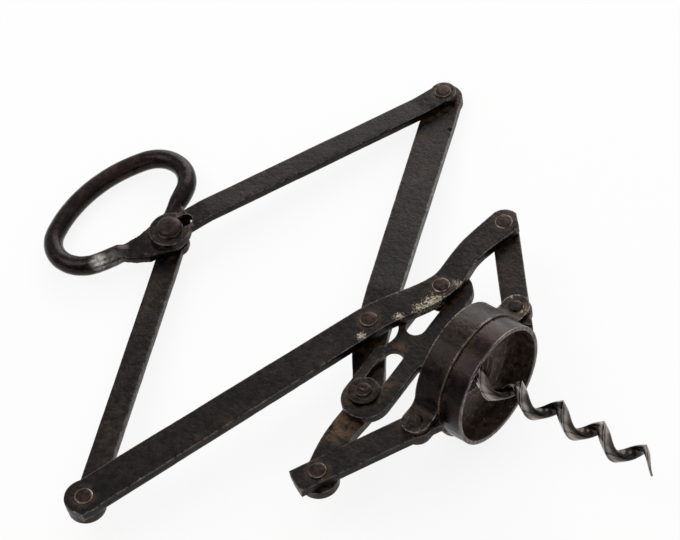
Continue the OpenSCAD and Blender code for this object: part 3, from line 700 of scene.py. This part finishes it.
def rivet_finish(name, offset, dark=(0.0120, 0.0075, 0.0065), brown=(0.0360, 0.0200, 0.0155),
                 ring_tone=0.85):
    """Rivet iron, a little redder than the levers, with a thin bright ring where its head was closed."""
    s = Shop(name)
    mottle = s.cloud(1.6, 5, 0.6, offset)
    speck = s.cloud(0.45, 3, 0.6, offset)
    colour = s.blend(s.span(mottle, 0.36, 0.62), dark, brown)
    colour = s.blend(s.times(s.span(speck, 0.58, 0.72), 0.5), colour, darker(dark, 0.4))
    ring = s.times(s.span(s.kept("edge_mm"), 0.06, 0.42, 1.0, 0.0), s.span(mottle, 0.30, 0.55))
    colour = s.blend(s.times(ring, ring_tone), colour, (0.30, 0.235, 0.205))
    s.put(s.skin.inputs["Base Color"], colour)
    s.skin.inputs["Metallic"].default_value = 0.80
    s.put(s.skin.inputs["Roughness"], s.span(mottle, 0.3, 0.7, 0.26, 0.42, "LINEAR"))
    s.skin.inputs["Specular IOR Level"].default_value = 0.35
    bump = s.relief(mottle, 0.10)
    bump = s.relief(s.pits(0.9, offset), 0.03, bump)
    s.put(s.skin.inputs["Normal"], bump)
    return s.material


rivet_iron = rivet_finish("rivet_iron", (5, 5, 5))

# The tail is the lower end and the head the upper one; a place is the level where either begins.
PLAIN_RIVET = {
    "Shank Radius": 2.0 * MM,
    "Tail Radius": 2.9 * MM,
    "Tail Height": 0.7 * MM,
    "Head Radius": 2.9 * MM,
    "Head Height": 0.7 * MM,
    "Tail Place": -5.0 * MM,
    "Head Place": 5.0 * MM,
    "Dimple": 0.0,
    "Hammering": 0.10 * MM,
    "Seed": 1.0,
}
FULL_WIDTH = 0.995
SAME_LEVEL = 1e-5
THINNEST_SHANK = 0.3
RIVET_SIDES = 44
HEAD_RINGS = 9
SHANK_RINGS = 3
DOME_EDGE = 0.16
DIMPLE_R = 0.62 * MM
SMALLEST_ROUND = 0.955
ROUND_SPREAD = 0.06


def gauge_rivet(node):
    """A rivet's place in the tongs and its sizes, read off its CAD node."""
    spots = [FROM_TONGS @ v.co for v in nodes[node].data.vertices]
    low = Vector([min(p[i] for p in spots) for i in range(3)])
    high = Vector([max(p[i] for p in spots) for i in range(3)])
    axis = (low + high) / 2
    rings = [(p.z, math.hypot(p.x - axis.x, p.y - axis.y)) for p in spots]
    tail_r = max(r for z, r in rings if z < axis.z)
    head_r = max(r for z, r in rings if z > axis.z)
    tail_z = max(z for z, r in rings if z < axis.z and r > tail_r * FULL_WIDTH)
    head_z = min(z for z, r in rings if z > axis.z and r > head_r * FULL_WIDTH)
    under_head = [r for z, r in rings if abs(z - head_z) < SAME_LEVEL]
    sizes = {
        "Shank Radius": min(r for r in under_head if r > THINNEST_SHANK * head_r),
        "Tail Radius": tail_r,
        "Tail Place": tail_z,
        "Tail Height": tail_z - low.z,
        "Head Radius": head_r,
        "Head Place": head_z,
        "Head Height": high.z - head_z,
    }
    return Vector((axis.x, axis.y, 0)), sizes


def rivet_tree():
    """A hammered rivet standing on its axis: shank, closed tail and head, each slightly out of round."""
    loom = Loom("hammered_rivet", PLAIN_RIVET)
    size = loom.inputs
    whole = loom.node("GeometryNodeJoinGeometry")
    for part in ("Tail", "Head", "Shank"):
        # a drum of radius 1 from -1 to 1, of which every point is then moved to its place
        rings = SHANK_RINGS if part == "Shank" else HEAD_RINGS
        drum = loom.node("GeometryNodeMeshCylinder", Vertices=RIVET_SIDES, Side__Segments=3,
                         Fill__Segments=rings, Radius=1.0, Depth=2.0)
        here, spot = loom.position()
        out = loom.node("ShaderNodeVectorMath", {"operation": "LENGTH"}, _0=loom.xyz(spot[0], spot[1], 0.0))
        out = out.outputs["Value"]
        dents = loom.node("ShaderNodeTexNoise", {"noise_dimensions": "4D"}, Vector=here, W=size["Seed"],
                          Scale=1.3, Detail=1.5).outputs[0]
        if part == "Shank":
            reach = loom.minus(size["Head Place"], size["Tail Place"])
            up = loom.plus(size["Tail Place"], loom.times(loom.plus(spot[2], 1.0), loom.times(reach, 0.5)))
            width = size["Shank Radius"]
            rim = FAR_MM
        else:
            # the outer face is domed and hammered, and the face against the plate stays flat
            side = -1.0 if part == "Tail" else 1.0
            width = size[part + " Radius"]
            dome = loom.math("MAXIMUM", 0.0, loom.minus(1.0, loom.math("POWER", out, 4.0)))
            dome = loom.plus(DOME_EDGE, loom.times(loom.math("SQRT", dome), 1.0 - DOME_EDGE))
            outer = loom.times(loom.plus(loom.times(spot[2], side), 1.0), 0.5)
            lift = loom.times(dome, outer, size[part + " Height"])
            lift = loom.minus(lift, loom.times(dents, size["Hammering"], outer))
            if part == "Head":
                punch = loom.smooth(loom.times(out, width), DIMPLE_R * 1.5, DIMPLE_R * 0.6)
                lift = loom.minus(lift, loom.times(punch, outer, size["Dimple"]))
            up = loom.plus(size[part + " Place"], loom.times(lift, side))
            rim = loom.times(loom.minus(1.0, out), loom.times(width, 1 / MM))
            width = loom.times(width, loom.plus(SMALLEST_ROUND, loom.times(dents, ROUND_SPREAD)))
        shape = loom.keep(drum, "edge_mm", rim)
        place = loom.xyz(loom.times(spot[0], width), loom.times(spot[1], width), up)
        shape = loom.move(shape, Position=place)
        loom.put(whole.inputs[0], shape.outputs[0])
    loom.finish(whole)
    return loom


rivets = rivet_tree()


def close_rivet(node, body, seed, hammering=0.10, finish=rivet_iron, dimple=0.0):
    """One rivet set by hand through its pieces, with the depths of its dents and dimple in mm."""
    place, sizes = gauge_rivet(node)
    sizes["Hammering"] = hammering * MM
    sizes["Dimple"] = dimple * MM
    sizes["Seed"] = float(seed)
    sizes["Finish"] = finish
    mesh = rivets.weave(node + "_closed", sizes)
    mesh.transform(TONGS @ Matrix.Translation(place))
    fit(mesh, node + "_closed", body, [node], smooth_angle=40)


close_rivet("cross_rivet", "crossing", seed=4)
bush_finish = browned_iron("bush_iron", (7, 13, 2), rusting=0.7)
forge("cross_bush", "crossing", bush_finish, width=0.2, grid=1.2 * MM, seed=5)


# ---- front lever ----
# Long flat bar of wrought iron, bent between stud and tip and square-cornered at its elbow. Forged,
# filed and browned, and flaked between the crossing and the stud.

# the file was drawn along the bars, which lean this way and the other way
RIGHT_STROKES = (0, 0, math.radians(68))
LEFT_STROKES = (0, 0, math.radians(-68))

front_face = CROSSING + UP * 5 * MM
front_flakes = [
    (beside(front_face, 14.6, 15.2), 9.0, 1.0),
    (beside(front_face, 12.4, 11.4), 6.0, 0.9),
    (beside(front_face, 7.9, 5.6), 4.0, 0.9),
    (beside(front_face, 1.6, -6.6), 3.8, 0.9),
    (beside(front_face, 17.2, 25.4), 5.0, 0.35),
    (beside(front_face, 20.5, 31.0), 4.0, 0.3),
]
front_lever_finish = browned_iron("front_lever_iron", (1, 2, 3), wear=1.3, grain=RIGHT_STROKES,
                                  chips=front_flakes, rusting=0.3)
forge("front_lever", "front_lever", front_lever_finish, seed=7)


# ---- the front lever's rivets, stud and washer ----
# Iron rivets hold an upper link at its left elbow and a short link at its right tip. The stud slides
# in the plate's left slot and is closed over a turned washer underneath.

close_rivet("front_stud", "front_lever", seed=8)
close_rivet("left_elbow_rivet", "front_lever", seed=9)
close_rivet("right_tip_rivet", "front_lever", seed=10)
washer_finish = browned_iron("washer_iron", (17, 3, 22), gloss=0.14, wear=0.8, rusting=0.15)
forge("front_washer", "front_lever", washer_finish, width=0.55, grid=0.9 * MM, seed=11)


# ---- rear lever ----
# The same wrought bar turned over, under the fork plate; its long arm is bent down a little towards
# the elbow. Forged, filed and browned, and rusty at the crossing and on the way to its tip.

rear_face = CROSSING - UP * 4 * MM
rear_rust = [
    (beside(rear_face, 9.6, -34.0), 12, 0.85),
    (beside(rear_face, 2.0, -2.0), 9, 0.8),
]
rear_flakes = [(beside(rear_face, 13.8, -38.2), 3.6, 0.55)]
rear_lever_finish = browned_iron("rear_lever_iron", (21, 12, 3), rust=(0.150, 0.078, 0.034),
                                 grain=LEFT_STROKES, rusting=0.4, rusty=rear_rust, chips=rear_flakes)
forge("rear_lever", "rear_lever", rear_lever_finish, seed=12)


# ---- the rear lever's rivets, stud and washer ----
# Iron rivets hold the other upper link and short link. The stud slides in the plate's right slot, and
# its end is closed over the washer with a punched dimple.

close_rivet("rear_stud", "rear_lever", seed=13, dimple=0.3)
close_rivet("right_elbow_rivet", "rear_lever", seed=14)
close_rivet("left_tip_rivet", "rear_lever", seed=15)
forge("rear_washer", "rear_lever", washer_finish, width=0.55, grid=0.9 * MM, seed=16)


# ---- upper links ----
# Narrow flat bars of wrought iron from the handle's tab to the elbows, forged so that they slope to
# one level there, then filed and browned.

rear_link_finish = browned_iron("rear_link_iron", (31, 7, 9), brown=(0.036, 0.0235, 0.0185),
                                grain=LEFT_STROKES, rusting=0.35)
forge("rear_upper_link", "rear_upper_link", rear_link_finish, seed=17)
front_link_finish = browned_iron("front_link_iron", (4, 27, 19), grain=RIGHT_STROKES, rusting=0.35,
                                 wear=1.15)
forge("front_upper_link", "front_upper_link", front_link_finish, seed=18)


# ---- handle rivet ----
# Big iron rivet through the handle's tab and the eyes of both upper links. Its round head was set
# with hammer blows that still show.

handle_rivet_iron = rivet_finish("handle_rivet_iron", (15, 9, 4), dark=(0.0110, 0.0080, 0.0075),
                                 brown=(0.0330, 0.0210, 0.0180), ring_tone=0.35)
close_rivet("handle_rivet", "handle_rivet", seed=19, hammering=0.25, finish=handle_rivet_iron)


# ---- ring handle ----
# Round wrought-iron bar bent by hand to an oval and forged flat into a round tab, with a small web
# where the hammer ran bar and tab together. Browned, with a painted highlight in one place.

HANDLE_TURN = math.radians(-11)
TAB_T = 3.0 * MM
WEB_PROUD = 0.02 * MM
WEB_REACH = 5.2 * MM
WEB_MIDDLE = (-5.2, -12.6)
WEB_EDGE = [(-10.3, -16.4), (-7.2, -17.2), (-4.3, -16.4), (-1.4, -14.2),
            (1.8, -11.0), (3.5, -7.0), (-2.0, -6.0), (-8.6, -8.0)]
WELD_GRAIN = 0.42 * MM

# The bench stands in the tongs' own plane under the handle rivet, turned as the handle is.
BENCH = TONGS @ Matrix.Translation(FROM_TONGS @ middle("handle_rivet")) @ Matrix.Rotation(HANDLE_TURN, 4, "Z")
BENCH.translation -= UP * (FROM_TONGS @ BENCH.translation).z

# painted highlights on the ring: spots painted light as bright bare iron
painted_highlight_spots = [
    (TONGS @ (Vector((-93.6, -21.4, 3.0)) * MM), 4.2, 1.0),
    (TONGS @ (Vector((-89.5, -17.6, 2.6)) * MM), 5.0, 0.3),
]
handle_finish = browned_iron("handle_iron", (8, 18, 28), dark=(0.0120, 0.0088, 0.0085),
                             brown=(0.0410, 0.0240, 0.0212), gloss=0.16, rusting=0.15, painted_highlights=painted_highlight_spots,
                             relief=0.6)


def on_bench(spot, height):
    return BENCH @ Vector((spot[0] * MM, spot[1] * MM, height))


def bend_the_ring():
    """The ring and its tab with the web that the hammer left between them, welded into one forging."""
    skin = merged_copy("handle")
    web_middle = on_bench(WEB_MIDDLE, 0)
    keen = [p for p in keen_points(skin, sharp=40) if (p - web_middle).length > WEB_REACH]
    half = TAB_T / 2 + WEB_PROUD
    below = [skin.verts.new(on_bench(spot, -half)) for spot in WEB_EDGE]
    above = [skin.verts.new(on_bench(spot, half)) for spot in WEB_EDGE]
    skin.faces.new(above)
    skin.faces.new(below[::-1])
    for i in range(len(WEB_EDGE)):
        j = (i + 1) % len(WEB_EDGE)
        skin.faces.new((below[i], below[j], above[j], above[i]))
    mesh = bpy.data.meshes.new("ring_blank")
    skin.to_mesh(mesh)
    skin.free()
    blank = bpy.data.objects.new("ring_blank", mesh)
    scene.collection.objects.link(blank)
    weld = blank.modifiers.new("weld", "REMESH")
    weld.mode = "VOXEL"
    weld.voxel_size = WELD_GRAIN
    soften = blank.modifiers.new("soften", "SMOOTH")
    soften.factor = 0.5
    soften.iterations = 12
    skin = bmesh.new()
    skin.from_mesh(strike_off(blank, "ring_welded"))
    dent(skin, coarse=0.10, fine=0.07, seed=20)
    hand_over(skin, "handle_bent", "handle", ["handle"], handle_finish, keen,
              smooth_angle=60)


bend_the_ring()


# ---- short links ----
# Flat iron links from the lever tips to the bell's ears, filed and browned. The left one keeps a
# square end past its rivet.

short_link_finish = browned_iron("short_link_iron", (14, 6, 33), grain=(0, 0, math.radians(56)), rusting=0.25)
forge("right_short_link", "right_short_link", short_link_finish, seed=21)
forge("left_short_link", "left_short_link", short_link_finish, seed=22)


# ---- bell ----
# Turned from one piece: a seat at the back for the straps, a wider skirt in front, and a wall with a
# hole for the worm. Browned outside, dull and rusty inside, with a rim worn bright.

END_DEPTH = 4.0 * MM
MOUTH_R = 19.0 * MM


def bell_axis():
    """The bell's middle and the way it faces, from the rings of points at its two ends."""
    spots = [v.co for v in nodes["bell"].data.vertices]
    reach = [p.dot(ALONG) for p in spots]
    ends = []
    for end in (min(reach), max(reach)):
        ring = [p for p, r in zip(spots, reach) if abs(r - end) < END_DEPTH]
        ends.append(sum(ring, Vector()) / len(ring))
    return (ends[0] + ends[1]) / 2, (ends[1] - ends[0]).normalized()


bell_middle, bell_ahead = bell_axis()
bell_finish = browned_iron("bell_iron", (19, 29, 2), dark=(0.0108, 0.0074, 0.0076),
                           brown=(0.0310, 0.0168, 0.0156), worn=(0.165, 0.125, 0.115), gloss=0.11,
                           wear=1.35, rusting=0.2, inside=True, even=0.55, relief=0.45)


def bell_lining(skin):
    """Marks the bell's inside: what looks towards its axis, or forward from within the mouth."""
    lining = skin.verts.layers.float.new("lining")
    for v in skin.verts:
        away = v.co - bell_middle
        out = away - bell_ahead * away.dot(bell_ahead)
        inward = -v.normal.dot(out.normalized())
        forward = v.normal.dot(bell_ahead) if out.length < MOUTH_R else 0.0
        v[lining] = max(0.0, min(1.0, max(inward, forward)))


forge("bell", "bell", bell_finish, width=0.09, coarse=0.10, fine=0.06, seed=23, mark=bell_lining)


# ---- straps and ear rivets ----
# Two sheet-iron straps bent round the seat and turned out into ears, riveted together over the short
# links. Browned like the bell, rusty at the ears, with a pale crust in front of them that is rust and a
# painted highlight.

right_ear = middle("right_ear_rivet")
strap_finish = browned_iron("strap_iron", (25, 1, 12), gloss=0.06, wear=1.6, rusting=0.25,
                            rusty=[(right_ear + ALONG * 3 * MM, 7, 0.85)],
                            chips=[(right_ear + ALONG * 3.5 * MM + UP * 5 * MM, 5.5, 0.6)])

# The crust's section: forward from the straps' edge, and inward from their outside, in mm.
CRUST = ((-0.06, 0.6), (-0.06, 0.12), (0.06, 0.02), (0.20, 0.10), (0.26, 0.12), (0.26, 0.6))
CRUST_ROUGH = 0.10
CRUST_WAVES = 9
CRUST_STEPS = 144


def crust_and_highlight_in_the_joint():
    """The thin pale crust that fills the groove between the straps' front edge and the skirt's shoulder:
    rust, and a painted highlight along it.
    """
    strap = [v.co - bell_middle for v in nodes["upper_strap"].data.vertices]
    edge = max(p.dot(bell_ahead) for p in strap)
    strap_r = max((p - bell_ahead * p.dot(bell_ahead)).dot(UP) for p in strap)
    across = bell_ahead.cross(UP).normalized()
    up = across.cross(bell_ahead).normalized()
    skin = bmesh.new()
    rings = []
    for x, drop in CRUST:
        ring = []
        for i in range(CRUST_STEPS):
            turn = 2 * math.pi * i / CRUST_STEPS
            out = up * math.cos(turn) + across * math.sin(turn)
            r = strap_r - (drop + CRUST_ROUGH * noise.noise(out * CRUST_WAVES + Vector((x, 0, 0)))) * MM
            ring.append(skin.verts.new(bell_middle + bell_ahead * (edge + x * MM) + out * r))
        rings.append(ring)
    for low, high in zip(rings, rings[1:] + rings[:1]):
        for i in range(CRUST_STEPS):
            j = (i + 1) % CRUST_STEPS
            skin.faces.new((low[i], low[j], high[j], high[i]))
    bmesh.ops.recalc_face_normals(skin, faces=skin.faces)
    # the crust is painted pale: rust, and a painted highlight along the groove
    rust = browned_iron("joint_crust_and_highlight", (2, 4, 41), dark=(0.060, 0.044, 0.034), brown=(0.20, 0.145, 0.105),
                        rusting=0.2)
    hand_over(skin, "joint_crust_and_highlight", "bell", [], rust, [], smooth_angle=60)


crust_and_highlight_in_the_joint()
forge("upper_strap", "bell", strap_finish, width=0.09, coarse=0.12, seed=24)
forge("lower_strap", "bell", strap_finish, width=0.09, coarse=0.12, seed=25)
ear_rivet_iron = rivet_finish("ear_rivet_iron", (9, 2, 44), dark=(0.0095, 0.0075, 0.0070),
                              brown=(0.0230, 0.0165, 0.0145), ring_tone=0.15)
close_rivet("right_ear_rivet", "bell", seed=26, finish=ear_rivet_iron)
close_rivet("left_ear_rivet", "bell", seed=27, finish=ear_rivet_iron)


# ---- floor, light and camera ----
# A white table under big soft lamps, between white walls, none of which is part of the tool. The
# table is white to the camera and in reflections, and keeps the tool's faint shadow.

TABLE_HALF = 6.0
TABLE_LEVEL = -0.0004
TABLE_COLOUR = (0.90, 0.885, 0.885, 1)
WHITE = (1, 1, 1, 1)
WHITE_SHARE = 0.87


def add_node(tree, kind, *values):
    """A new node, with these values or outputs at its first inputs."""
    n = tree.nodes.new(kind)
    for socket, value in zip(n.inputs, values):
        if isinstance(value, bpy.types.NodeSocket):
            tree.links.new(value, socket)
        elif value is not None:
            socket.default_value = value
    return n


def white_table():
    mesh = bpy.data.meshes.new("table")
    corners = ((-1, -1), (1, -1), (1, 1), (-1, 1))
    mesh.from_pydata([(x * TABLE_HALF, y * TABLE_HALF, TABLE_LEVEL) for x, y in corners], [], [(0, 1, 2, 3)])
    table = bpy.data.objects.new("table", mesh)
    scene.collection.objects.link(table)
    material = bpy.data.materials.new("white_table")
    material.use_nodes = True
    tree = material.node_tree
    tree.nodes.clear()
    matt = add_node(tree, "ShaderNodeBsdfDiffuse", TABLE_COLOUR)
    white = add_node(tree, "ShaderNodeEmission", WHITE)
    ray = add_node(tree, "ShaderNodeLightPath")
    seen = ray.outputs["Is Camera Ray"]
    for kind in ("Is Glossy Ray", "Is Transmission Ray"):
        either = add_node(tree, "ShaderNodeMath", seen, ray.outputs[kind])
        either.operation = "ADD"
        either.use_clamp = True
        seen = either.outputs[0]
    share = add_node(tree, "ShaderNodeMath", seen, WHITE_SHARE)
    share.operation = "MULTIPLY"
    both = add_node(tree, "ShaderNodeMixShader", share.outputs[0], matt.outputs[0], white.outputs[0])
    add_node(tree, "ShaderNodeOutputMaterial", both.outputs[0])
    mesh.materials.append(material)


LAMPS_LOOK_AT = Vector((0, 0, 0.02))


def lamp(name, place, size, power):
    light = bpy.data.lights.new(name, "AREA")
    light.shape = "DISK"
    light.size = size
    light.energy = power
    holder = bpy.data.objects.new(name, light)
    holder.location = place
    holder.rotation_euler = (LAMPS_LOOK_AT - Vector(place)).to_track_quat("-Z", "Y").to_euler()
    scene.collection.objects.link(holder)


white_table()
lamp("back_window", (-0.45, 1.2, 0.6), 1.3, 13.0)
lamp("top", (-0.6, -0.45, 1.15), 0.9, 5.0)
lamp("fill", (0.9, -0.9, 0.9), 1.2, 2.0)


BRIGHT_SIDE = Vector((-0.45, 0.80, 0.40)).normalized()
DIM_WALL = 0.22
BRIGHT_WALL = 0.95


def studio_walls():
    """White walls all round, brighter behind the tool than in front of it."""
    world = bpy.data.worlds.new("studio")
    world.use_nodes = True
    tree = world.node_tree
    tree.nodes.clear()
    place = add_node(tree, "ShaderNodeTexCoord")
    towards = add_node(tree, "ShaderNodeVectorMath", place.outputs["Generated"], BRIGHT_SIDE)
    towards.operation = "DOT_PRODUCT"
    bright = add_node(tree, "ShaderNodeMapRange", towards.outputs["Value"], -0.7, 0.9, DIM_WALL, BRIGHT_WALL)
    bright.interpolation_type = "SMOOTHSTEP"
    wall = add_node(tree, "ShaderNodeBackground", None, bright.outputs["Result"])
    add_node(tree, "ShaderNodeOutputWorld", wall.outputs[0])
    scene.world = world


studio_walls()
scene.view_settings.view_transform = "Standard"

# The camera stands about 0.9 m off, 55 degrees above the table, on the worm's right.
CAMERA_PLACE = Vector((0.290527, -0.389670, 0.737621))
CAMERA_RIGHT = Vector((0.829357, 0.557433, -0.037875))
CAMERA_AHEAD = Vector((-0.345323, 0.458124, -0.819069))
CAMERA_UP = CAMERA_RIGHT.cross(CAMERA_AHEAD)
optics = bpy.data.cameras.new("camera")
optics.lens = 144.0
optics.sensor_width = 36.0
optics.sensor_fit = "HORIZONTAL"
optics.clip_start = 0.05
optics.clip_end = 40
camera = bpy.data.objects.new("camera", optics)
camera_turn = Matrix((CAMERA_RIGHT, CAMERA_UP, -CAMERA_AHEAD)).transposed().to_4x4()
camera.matrix_world = Matrix.Translation(CAMERA_PLACE) @ camera_turn
scene.collection.objects.link(camera)
scene.camera = camera
